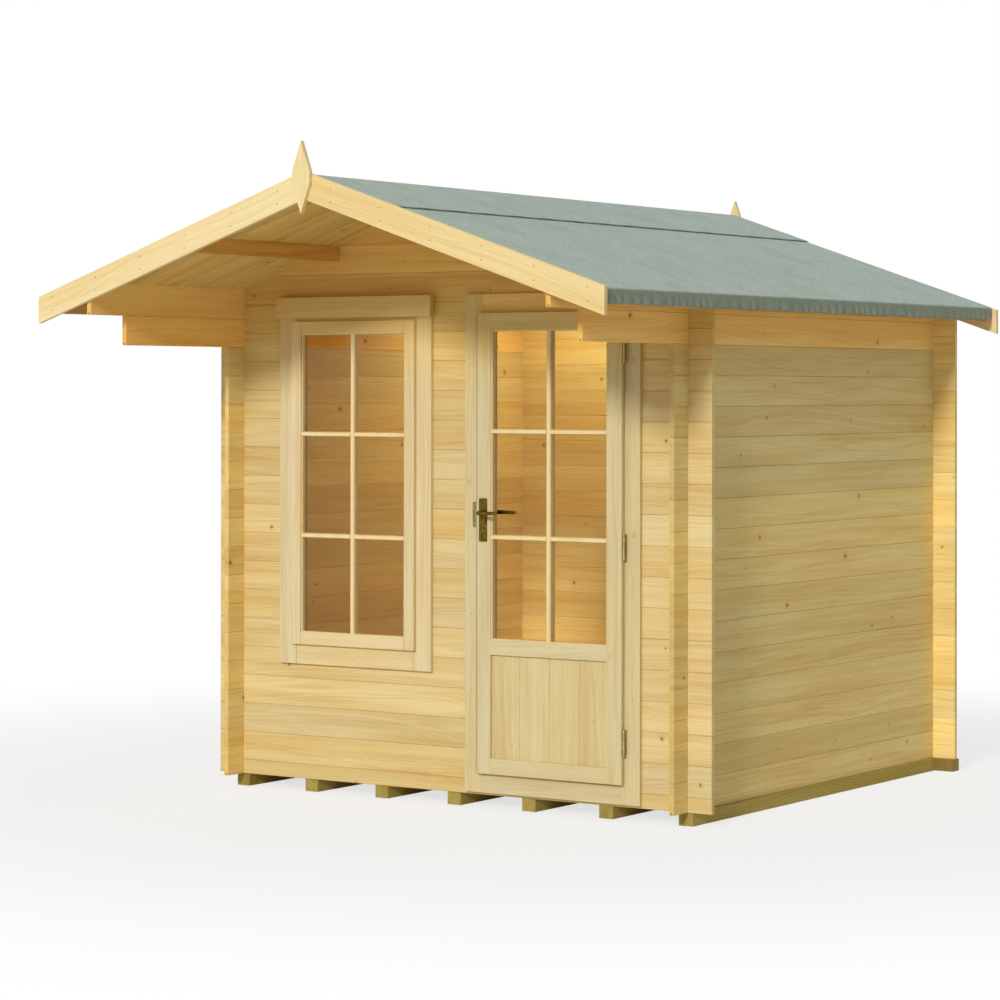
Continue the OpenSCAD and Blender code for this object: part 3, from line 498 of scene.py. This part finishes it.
def felt_profile():
    """Line of the felt from ridge to edge in X and Z: down the slope, round a small fold, straight
    down. Also the share of the drop above each point, from 0 on the slope to 1 at the edge."""
    slope_steps = np.linspace(0.0, 1.0, 26)
    fold_steps = np.linspace(0.0, 1.0, 7)[1:]
    drop_steps = np.linspace(0.0, 1.0, 11)[1:]
    bottom = felt_low[Z] + edge_up
    reach = fold_radius * np.tan((np.pi / 2 - roof_slope) / 2)
    slope_x = slope_steps * (eaves_x - reach * np.cos(roof_slope))
    turn = roof_slope + fold_steps * (np.pi / 2 - roof_slope)
    fold_x = eaves_x - fold_radius + fold_radius * np.sin(turn)
    fold_z = eaves_z - reach + fold_radius * np.cos(turn)
    drop_z = fold_z[-1] + drop_steps * (bottom - fold_z[-1])
    x = np.concatenate([slope_x, fold_x, np.full(len(drop_steps), eaves_x)])
    z = np.concatenate([board_top - slope_x * roof_tan, fold_z, drop_z])
    share = np.concatenate([np.zeros(len(slope_x) + len(fold_x)), drop_steps])
    return x, z, share


def felt_slope(side):
    """Felt of one slope: the profile repeated along Y, lifted where it bridges the board joints by
    0.3 mm (1 + cos), and bulging below the fold by |sin(2 pi (y / nail step + swing))|, twice
    between two nails and more so towards the edge. Slow waves in swing and in the bulge's size
    keep the ripples uneven, and the edge's height wanders by a few millimetres. At the back the
    hanging corner is tucked forward by up to 48 mm."""
    least_bulge, most_bulge, edge_wander = 0.0008, 0.014, 0.0045
    tuck, tuck_reach, bridge, bridge_end = 0.048, 0.11, 0.0003, 0.05
    x, z, share = (v[:, None] for v in felt_profile())
    y = felt_y[None, :]
    swing = (0.3 * np.sin(5.1 * y + side) + 0.17 * np.sin(13.7 * y)
             + 0.06 * np.sin(31.0 * y + 2 * side))
    bulge = np.abs(np.sin(2 * np.pi * (y / nail_step + swing))) ** 0.8
    uneven = 0.66 + 0.2 * np.sin(3.3 * y + 2 * side) + 0.14 * np.sin(19.0 * y + 1.0)
    out = share ** 0.9 * (least_bulge + most_bulge * bulge * uneven)
    corner = np.clip((y - felt_y[-1] + tuck_reach) / tuck_reach, 0, 1) ** 2
    y = y - tuck * share * corner
    low = share * edge_wander * (0.5 + 0.5 * np.sin(23.0 * y + 1.7 * side) * np.sin(4.3 * y))
    lift = (share == 0) * bridge * (1 + np.cos(2 * np.pi * (y - felt_y[0]) / roof_row)) * np.clip(
        (eaves_x - x) / bridge_end, 0, 1)
    lower = spots(side * (x + out), y, z + low + lift)
    upper = lower + felt_thick * grid_normals(lower) * side
    return thick_sheet(upper, lower) if side > 0 else thick_sheet(upper[:, ::-1], lower[:, ::-1])


for side, node in ((1, "right_roof_felt"), (-1, "left_roof_felt")):
    felt = new_piece(node + "_laid", *felt_slope(side), mineral_felt(
        "mineral_" + node, -side * roof_slope), "roofing_felt", smooth=True)
    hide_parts(node)

# The ridge strip falls from its crown by max(sqrt(x x + r r) - r, |x| - flat) times the roof's
# tangent, so it is rounded over the ridge, and low waves lift its two edges.
strip_round, strip_flat, strip_seat = 0.012, 0.008, 0.0005
wave_reach, wave_lift, wave_length = 0.05, 0.0012, 0.2
strip_low, strip_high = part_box("ridge_felt")
strip_half = strip_high[X]
strip_x = np.linspace(-1.0, 1.0, 45)[:, None] * strip_half
strip_y = np.linspace(strip_low[Y], strip_high[Y], 250)[None, :]
strip_fall = np.maximum(np.sqrt(strip_x ** 2 + strip_round ** 2) - strip_round,
                        np.abs(strip_x) - strip_flat)
strip_edge = np.clip((np.abs(strip_x) - strip_half + wave_reach) / wave_reach, 0, 1)
strip_z = (strip_high[Z] - felt_thick / np.cos(roof_slope) - strip_fall * roof_tan - strip_seat
           + strip_edge * wave_lift * (0.5 + 0.5 * np.sin(2 * np.pi * strip_y / wave_length)))
strip_under = spots(strip_x, strip_y, strip_z)
strip_over = strip_under + (0.0, 0.0, felt_thick)
ridge_strip = new_piece("ridge_felt_laid", *thick_sheet(strip_over, strip_under),
                        mineral_felt("mineral_ridge_felt", 0.0), "roofing_felt", smooth=True)
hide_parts("ridge_felt")


# Clout nails: galvanised wire nails with wide flat heads, driven through the felt along the edges
# of the ridge strip and through the fold at the eaves.
def heads(at, facing, radius, rise):
    """Round nail or screw heads: for each point three rings, at (radius, -rise), (radius, rise / 2)
    and (0.62 radius, rise) outwards along facing, closed below and above."""
    sides = 8
    at = np.atleast_2d(np.asarray(at, float))
    facing = np.broadcast_to(np.asarray(facing, float), at.shape)
    helper = np.where(np.abs(facing[:, 2:]) > 0.9, (1.0, 0.0, 0.0), (0.0, 0.0, 1.0))
    first = np.cross(helper, facing)
    first /= np.linalg.norm(first, axis=-1, keepdims=True)
    second = np.cross(facing, first)
    angle = np.linspace(0, 2 * np.pi, sides, endpoint=False)
    circle = np.cos(angle)[:, None, None] * first + np.sin(angle)[:, None, None] * second
    points = np.stack([at + scale * radius * circle + height * rise * facing for scale, height in (
        (1.0, -1.0), (1.0, 0.5), (0.62, 1.0))]).transpose(2, 0, 1, 3)
    start = (np.arange(len(at)) * 3 * sides)[:, None]
    i = np.arange(sides)
    j = (i + 1) % sides
    faces = []
    for ring in (start, start + sides):
        quad = np.stack([ring + i, ring + j, ring + sides + j, ring + sides + i], -1)
        faces += quad.reshape(-1, 4).tolist()
    faces += (start + i[::-1]).tolist() + (start + 2 * sides + i).tolist()
    return points.reshape(-1, 3), faces


def joined(*meshes):
    """One mesh of several: their points one after another, corner numbers moved on to match."""
    starts = np.cumsum([0] + [len(points) for points, _ in meshes]).tolist()
    return (np.concatenate([points for points, _ in meshes]),
            [[corner + start for corner in face] for start, (_, faces) in zip(starts, meshes)
             for face in faces])


def metal(name, bright, dull, rough, cloud_scale):
    """Metal whose bright skin is dulled in clouds and speckles; the dull places are rougher."""
    material, tree, shader = new_finish(name)
    spot = place(tree, "TexCoord").outputs["Object"]
    speck = noise(tree, spot, cloud_scale * 9.0, 3.0)
    worn = calc(tree, "ADD", ramp(tree, noise(tree, spot, cloud_scale, 6.0, 0.7), 0.36, 0.66),
                ramp(tree, speck, 0.55, 0.75, 0.0, 0.4), clamp=True)
    feed(tree, shader, {
        "Metallic": 1.0, "Base Color": blend(tree, worn, bright, dull),
        "Roughness": calc(tree, "MULTIPLY_ADD", worn, 0.22, rough),
        "Normal": rough_skin(tree, speck, 0.12, 0.0006)})
    return material


zinc = metal("galvanised_zinc", srgb(150, 154, 152), srgb(104, 108, 106), 0.5, 160.0)
clout_rise = 0.0008
lap_nail_x, lap_nail_up, lap_nail_radius = strip_half - 0.022, 0.0012, 0.005
lap_nail_y = np.arange(strip_low[Y] + 0.04, strip_high[Y], 0.1)
fold_nail_x, fold_nail_z, fold_nail_radius = eaves_x + felt_thick + 0.0006, eaves_z - 0.022, 0.0045
fold_nail_y = np.arange(felt_low[Y] + nail_step / 2, felt_high[Y], nail_step)
nails = []
for side in (1, -1):
    lap_nail_z = strip_high[Z] - lap_nail_x * roof_tan + lap_nail_up
    nails.append(heads(spots(side * lap_nail_x, lap_nail_y, lap_nail_z), off_slope * (side, 1, 1),
                       lap_nail_radius, clout_rise))
    nails.append(heads(spots(side * fold_nail_x, fold_nail_y, fold_nail_z), (side, 0, 0),
                       fold_nail_radius, clout_rise))
new_piece("clout_nails", *joined(*nails), zinc, "hinge_steel")


# Eaves battens: rough sawn spruce strips, nailed under the lower ends of the roof boards. The felt
# is folded down over them, so they show only from below.
finish_with(timber("batten_spruce", Y, Z, 151.0, srgb(212, 178, 116), srgb(172, 128, 68),
                   middle=(middle_of("right_eaves_batten", Z), 0.0), rough=0.8),
            "left_eaves_batten", "right_eaves_batten")


# Barge boards: planed pine boards nailed over the ends of the roof at front and back, mitred
# together at the ridge, with a pointed finial board covering each mitre.
barge_depth = 0.1004
barge_pale, barge_dark = srgb(238, 218, 163), srgb(224, 194, 134)
for number, (node, side) in enumerate((("front_barge_right", 1), ("front_barge_left", -1),
                                       ("back_barge_right", 1), ("back_barge_left", -1))):
    barge_middle = (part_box(node)[1][Z] - barge_depth / 2) * np.cos(roof_slope)
    finish_with(timber("barge_pine_" + node, X, Z, 160.0 + 5.7 * number, barge_pale, barge_dark,
                       middle=(barge_middle, middle_of(node, Y)), turn=-side * roof_slope,
                       rough=0.55, spread=0.1), node)
finish_with(timber("finial_pine", Z, X, 183.0, barge_pale, barge_dark, middle=(0.012, 0.0),
                   knots=0.4, rough=0.55), "front_finial", "back_finial")
barge_nail_x = np.repeat(np.linspace(0.12, 1.2, 6), 2)
barge_nail_down = np.tile([0.026, 0.074], 6)
nails = []
for side in (1, -1):
    for node, end, toward in (("front_barge_right", 0, -1), ("back_barge_right", 1, 1)):
        barge_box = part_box(node)
        nails.append(heads(spots(side * barge_nail_x, barge_box[end][Y], barge_box[1][Z]
                                 - barge_nail_x * roof_tan - barge_nail_down),
                           (0, toward, 0), radius=0.0026, rise=0.0004))
new_piece("barge_nails", *joined(*nails), zinc, "hinge_steel")


# Window: planed pine frame that clasps the logs, a drip board over it and a lapped sash. The posts
# and stiles stand full height, with the rails shouldered in between them.
joinery_pale, joinery_dark = srgb(226, 207, 162), srgb(208, 184, 132)
window_x = middle_of("window_glass", X)
frame_light, sash_light = 0.283, 0.250
window_z, frame_y, sash_y, drip_y = 1.2, -1.036, -1.04, -1.055
# under_eaves: painted shade of the roof on the joinery near the top, warmer and darker.
under_eaves = (1.5, 1.95)
finish_with(timber("window_frame_pine", X, Z, 201.0, joinery_pale, joinery_dark,
                   middle=(window_z, frame_y), knots=0.25, spread=0.07, rough=0.55,
                   shoulders=(X, window_x, frame_light), eaves_shade=under_eaves), "window_frame")
finish_with(timber("drip_board_pine", X, Z, 206.0, joinery_pale, joinery_dark,
                   middle=(middle_of("window_drip_board", Z), drip_y), knots=0.25, rough=0.55,
                   eaves_shade=(1.5, 1.85)), "window_drip_board")
finish_with(timber("window_sash_pine", X, Z, 211.0, joinery_pale, joinery_dark,
                   middle=(window_z, sash_y), knots=0.0, spread=0.07, rough=0.55,
                   shoulders=(X, window_x, sash_light), eaves_shade=under_eaves), "window_sash")


# Glazing bars: slim moulded bars outside and inside the single sheet of glass, so that it looks
# like six panes, with quarter beads pinned round the edge.
def pane_bars(centre, low, high, half, crossings, faces_y, glass_y, width=0.019):
    """Bars of one glazed opening: a mullion over the whole height and cross bars let in on both
    sides of it, each a tapered section standing on the glass; beads of a quarter section run round
    the edge."""
    taper, bead_width, meshes = 0.16 * width, 0.0045, []
    for face, pane in zip(faces_y, glass_y):
        rise, toward = abs(face - pane), (0, np.sign(face - pane), 0)
        section = [(-width / 2, 0), (width / 2, 0), (width / 2, 0.45 * rise),
                   (width / 2 - taper, rise), (-width / 2 + taper, rise), (-width / 2, 0.45 * rise)]
        foot = [(centre, pane, low)]
        meshes.append(bars(section, foot, (0, 0, 1), (1, 0, 0), toward, high - low))
        starts = [(x, pane, z) for z in crossings for x in (centre - half, centre + width / 2)]
        meshes.append(bars(section, starts, (1, 0, 0), (0, 0, 1), toward, half - width / 2))
        turn = np.linspace(0, np.pi / 2, 5)
        quarter = [(0, 0), *zip(bead_width * np.cos(turn), 0.8 * rise * np.sin(turn))]
        left, right, between = centre - half, centre + half, 2 * (half - bead_width)
        for start, along, inward, length in (
                ((left, pane, low), (0, 0, 1), (1, 0, 0), high - low),
                ((right, pane, low), (0, 0, 1), (-1, 0, 0), high - low),
                ((left + bead_width, pane, low), (1, 0, 0), (0, 0, 1), between),
                ((left + bead_width, pane, high), (1, 0, 0), (0, 0, -1), between)):
            meshes.append(bars(quarter, [start], along, inward, toward, length))
    return joined(*meshes)


def bar_pine(name, seed, centre):
    """Clear pine for slim bars: fibres run upright, with a fine even figure and no knots."""
    bar_y = -1.05
    return timber(name, Z, X, seed, srgb(240, 222, 176), srgb(228, 204, 152),
                  middle=(centre, bar_y), knots=0.0, spread=0.04, rough=0.5)


new_piece("window_glazing_bars", *pane_bars(
    window_x, low=0.633, high=1.811, half=sash_light, crossings=(1.016, 1.416),
    faces_y=(-1.0596, -1.027), glass_y=(-1.0497, -1.0455)),
    bar_pine("window_bar_pine", 221.0, window_x), "joinery")


# Panes: clear float glass, 4 mm thick, one whole sheet in the sash and one in the door leaf. They
# lie in grooves of the wood, and the beads hold them.
def clear_glass(name):
    """Clear glass that lets lamp light through to the room; faint ripples and specks of dust break
    it. A low index keeps the white studio from veiling the room behind the thin panes."""
    material, tree, shader = new_finish(name)
    spot = place(tree, "TexCoord").outputs["Object"]
    dust = noise(tree, spot, 7.0, 6.0, 0.7)
    feed(tree, shader, {
        "Transmission Weight": 1.0, "IOR": 1.25,
        "Base Color": blend(tree, dust, srgb(250, 252, 250), srgb(240, 246, 242)),
        "Roughness": ramp(tree, dust, 0.35, 0.8, 0.0, 0.04),
        "Normal": rough_skin(tree, noise(tree, spot, 3.0, 1.0), 0.04, 0.002)})
    rays = place(tree, "LightPath").outputs
    shade = calc(tree, "MAXIMUM", rays["Is Shadow Ray"], rays["Is Diffuse Ray"])
    pass_through = place(tree, "BsdfTransparent", {"Color": (0.95, 0.92, 0.82, 1.0)})
    mixed = place(tree, "MixShader", {0: shade, 1: shader.outputs[0], 2: pass_through.outputs[0]})
    feed(tree, tree.nodes["Material Output"], {"Surface": mixed.outputs[0]})
    return material


finish_with(clear_glass("window_pane_glass"), "window_glass")
finish_with(clear_glass("door_pane_glass"), "door_glass")


# Door frame: two posts, head and threshold of planed pine, grooved to clasp the log ends and nailed
# to them. The leaf laps over its front.
post_pale, post_dark = srgb(218, 202, 156), srgb(200, 179, 126)
door_x = middle_of("door_glass", X)
post_off, head_z, threshold_z = 0.35, 1.91, 0.09
finish_with(timber("door_post_pine", Z, X, 231.0, post_pale, post_dark,
                   middle=(door_x - post_off, frame_y), knots=0.25, spread=0.07, rough=0.55,
                   eaves_shade=under_eaves), "door_left_jamb")
finish_with(timber("door_hinge_post_pine", Z, X, 237.0, post_pale, post_dark,
                   middle=(door_x + post_off, frame_y), knots=0.25, spread=0.07, rough=0.55,
                   eaves_shade=(1.6, 2.1)), "door_right_jamb")
# The door head takes the gable logs' tone: painted shade of the roof.
finish_with(timber("door_head_pine", X, Z, 241.0, *log_tones["gable"], middle=(head_z, frame_y),
                   knots=0.25, rough=0.55), "door_head")
finish_with(timber("door_threshold_pine", X, Z, 246.0, post_pale, post_dark,
                   middle=(threshold_z, frame_y), knots=0.25, rough=0.55), "door_threshold")


# Casing nails: lost-head wire nails, punched almost flush, that hold the window casing, the drip
# board and the door posts to the logs.
casing_off, post_nail_off, casing_nail_up = 0.334, 0.36, 0.03
frame_low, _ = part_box("window_frame")
drip_low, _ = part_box("window_drip_board")
post_low, post_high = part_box("door_right_jamb")
casing_z = np.linspace(frame_low[Z] + casing_nail_up, drip_low[Z] - 0.05, 6)
post_z = np.linspace(post_low[Z] + 0.1, post_high[Z] - 0.06, 7)
sill_nail_x = window_x + np.array([-0.17, 0.0, 0.17])
drip_nail_x = window_x + np.array([-0.33, -0.11, 0.11, 0.33])
new_piece("casing_nails", *heads(np.concatenate([
    *(spots(window_x + side * casing_off, frame_low[Y], casing_z) for side in (-1, 1)),
    spots(sill_nail_x, frame_low[Y], frame_low[Z] + casing_nail_up),
    spots(drip_nail_x, drip_low[Y], middle_of("window_drip_board", Z)),
    *(spots(door_x + side * post_nail_off, post_low[Y], post_z) for side in (-1, 1))]),
    (0, -1, 0), radius=0.0019, rise=0.0003), zinc, "hinge_steel")


# Door leaf: two stiles and three rails of planed pine, lapped over the frame, with four upright
# boards in the lower panel, jointed with a V on both faces.
leaf_pale, leaf_dark = srgb(212, 198, 152), srgb(194, 174, 124)
leaf_y, panel_y = -1.045, -1.04
# Painted shadow line: the lock stile darkens along its outer edge, over 11 mm.
lock_shadow_line = (X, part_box("door_lock_stile")[0][X], 0.011)
for node, grain, face, seed, middle, edge in (
        ("door_lock_stile", Z, X, 251.0, 0.165, lock_shadow_line),
        ("door_hinge_stile", Z, X, 257.0, 0.747, None),
        ("door_rails", X, Z, 263.0, 0.62, None)):
    # The leaf's top rail gets painted shade of the roof from 1.6 m up.
    finish_with(timber(node + "_pine", grain, face, seed, leaf_pale, leaf_dark,
                       middle=(middle, leaf_y), knots=0.2, spread=0.07, rough=0.55,
                       eaves_shade=(1.6, 1.8), edge=edge), node)
panel_rows, panel_gap, panel_vee = 4, 0.0005, 0.0018
panel_low, panel_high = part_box("door_panel")
panel_row = (panel_high[X] - panel_low[X]) / panel_rows
panel_boards = new_piece("door_panel_boards", *bars(
    board_outline(panel_row - panel_gap, panel_high[Y] - panel_low[Y], panel_vee, both=True),
    spots(panel_low[X] + np.arange(panel_rows) * panel_row, panel_low[Y], panel_low[Z]),
    (0, 0, 1), (1, 0, 0), (0, 1, 0), panel_high[Z] - panel_low[Z]),
    timber("door_panel_pine", Z, X, 271.0, srgb(217, 201, 149), srgb(199, 174, 118),
           boards=(panel_low[X], panel_row), middle=(0.0, panel_y), knots=0.35, spread=0.08,
           rough=0.55), "joinery", "door")
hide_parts("door_panel")
new_piece("door_glazing_bars", *pane_bars(
    door_x, low=0.645, high=1.817, half=0.258, crossings=(1.033, 1.434),
    faces_y=(-1.0643, -1.026), glass_y=(-1.0544, -1.0502)),
    bar_pine("door_bar_pine", 277.0, door_x), "joinery", "door")


# Hinges, keep and handle: drilled-in steel hinges, and a lever handle on long plates of cast brass
# that has gone brown, with its keep screwed to the post.
finish_with(metal("yellow_zinc_steel", srgb(184, 170, 122), srgb(146, 132, 84), 0.48, 120.0),
            "frame_hinges", "door_hinges")
brass = metal("aged_brass", srgb(126, 102, 38), srgb(76, 60, 14), 0.36, 70.0)
finish_with(brass, "door_handle_plates", "door_lever")
keep_zinc = metal("keep_zinc", srgb(164, 148, 96), srgb(116, 102, 54), 0.4, 90.0)
finish_with(keep_zinc, "door_keep")
plate_screw_in, keep_screw_in = 0.011, 0.012
plate_low, plate_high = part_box("door_handle_plates")
plate_x = middle_of("door_handle_plates", X)
plate_z = np.array([plate_low[Z] + plate_screw_in, plate_high[Z] - plate_screw_in])
new_piece("handle_screws", *joined(*(
    heads(spots(plate_x, y, plate_z), (0, toward, 0), radius=0.0036, rise=0.0008)
    for y, toward in ((plate_low[Y], -1), (plate_high[Y], 1)))), brass, "aged_brass", "door")
keep_low, keep_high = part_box("door_keep")
keep_z = np.array([keep_low[Z] + keep_screw_in, keep_high[Z] - keep_screw_in])
new_piece("keep_screws", *heads(spots(middle_of("door_keep", X), keep_low[Y], keep_z), (0, -1, 0),
                                radius=0.0034, rise=0.0006), keep_zinc, "aged_brass")


# Studio: a plain pale floor that fades into white all round, one broad soft lamp in front and an
# even sky. A warm lamp under the roof stands for daylight that the bare boards throw about the
# room.
def seen_rays(tree):
    """Socket that is 1 for camera, glossy and transmitted rays, and otherwise 0."""
    rays = place(tree, "LightPath").outputs
    return calc(tree, "MAXIMUM", rays["Is Camera Ray"], calc(
        tree, "MAXIMUM", rays["Is Glossy Ray"], rays["Is Transmission Ray"]))


def pale_floor():
    """Matt pale floor that keeps the cabin's shadow and fades into the white further out."""
    fade_from, fade_to, least_white = 2.0, 5.0, 0.72
    material, tree, shader = new_finish("pale_floor")
    spot = place(tree, "TexCoord").outputs["Object"]
    far = place(tree, "VectorMath", {0: spot}, operation="LENGTH").outputs["Value"]
    mottle = noise(tree, spot, 1.5, 3.0)
    feed(tree, shader, {
        "Base Color": blend(tree, mottle, srgb(234, 234, 233), srgb(238, 238, 237)),
        "Roughness": 0.95, "Specular IOR Level": 0.0})
    white = place(tree, "Emission", {"Strength": 1.0})
    fade = ramp(tree, far, fade_from, fade_to, least_white, 1.0)
    share = calc(tree, "MULTIPLY", fade, seen_rays(tree))
    mixed = place(tree, "MixShader", {0: share, 1: shader.outputs[0], 2: white.outputs[0]})
    feed(tree, tree.nodes["Material Output"], {"Surface": mixed.outputs[0]})
    return material


floor_half, floor_z = 40.0, -0.0005
floor_mesh = bpy.data.meshes.new("studio_floor")
floor_mesh.from_pydata([(x * floor_half, y * floor_half, floor_z) for x, y in (
    (-1, -1), (1, -1), (1, 1), (-1, 1))], [], [(0, 1, 2, 3)])
floor_mesh.materials.append(pale_floor())
set_up("studio_floor", floor_mesh)

world = bpy.data.worlds.new("studio")
bpy.context.scene.world = world
world.use_nodes = True
sky = world.node_tree
even_sky = sky.nodes["Background"]
feed(sky, even_sky, {"Color": (1.0, 0.99, 0.97, 1.0), "Strength": 0.44})
white_round = place(sky, "Background", {"Color": (1.0, 1.0, 1.0, 1.0), "Strength": 1.0})
mixed = place(sky, "MixShader", {
    0: seen_rays(sky), 1: even_sky.outputs[0], 2: white_round.outputs[0]})
feed(sky, sky.nodes["World Output"], {"Surface": mixed.outputs[0]})

broad_lamp = bpy.data.lights.new("broad_lamp", "SUN")
broad_lamp.energy = 1.95
broad_lamp.angle = np.radians(9)
broad_lamp.color = (1.0, 0.98, 0.94)
set_up("broad_lamp", broad_lamp).rotation_euler = np.radians((66, 0, 11))

room_lamp = bpy.data.lights.new("room_lamp", "AREA")
room_lamp.energy = 9.6
room_lamp.color = (1.0, 0.87, 0.5)
room_lamp.shape = "RECTANGLE"
room_lamp.size, room_lamp.size_y = 1.4, 0.8
set_up("room_lamp", room_lamp).location = (-0.2, 0.5, 2.02)

camera = bpy.data.cameras.new("camera")
camera.lens = 110.9
camera.sensor_width = 36.0
camera.shift_y = -0.1275
camera.clip_end = 200.0
camera_object = set_up("camera", camera)
camera_object.location = (6.718, -10.7535, 1.596)
camera_object.rotation_euler = np.radians((90.30, -0.08, 33.77))
bpy.context.scene.camera = camera_object

bpy.context.scene.view_settings.view_transform = "Standard"
